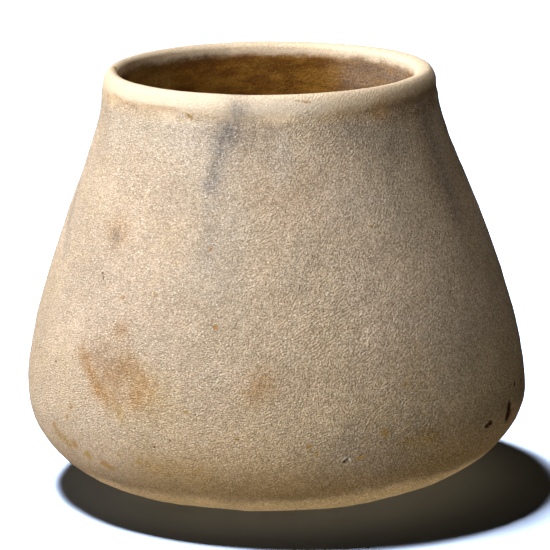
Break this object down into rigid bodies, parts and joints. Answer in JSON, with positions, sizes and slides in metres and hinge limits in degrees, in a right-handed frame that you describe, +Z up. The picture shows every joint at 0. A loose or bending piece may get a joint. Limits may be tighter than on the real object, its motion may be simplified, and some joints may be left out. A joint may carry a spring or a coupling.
{
  "type": "alabaster jar",
  "caption": "Squat hollow stone jar with a low wide belly, sloping flanks, a wide mouth with a rolled rim and a small flat foot.",
  "frame": {"origin": "centre of the flat foot, on the surface that the jar stands on", "axes": "+Z up through the middle of the mouth, -Y towards the side that the picture shows, +X to that side's right"},
  "size_m": [0.125, 0.125, 0.1048],
  "materials": {
    "alabaster": "ground and softly polished, sugary crystal grain, warm cream to tan"
  },
  "bodies": {
    "root": {"jar": "alabaster"}
  },
  "joints": []
}
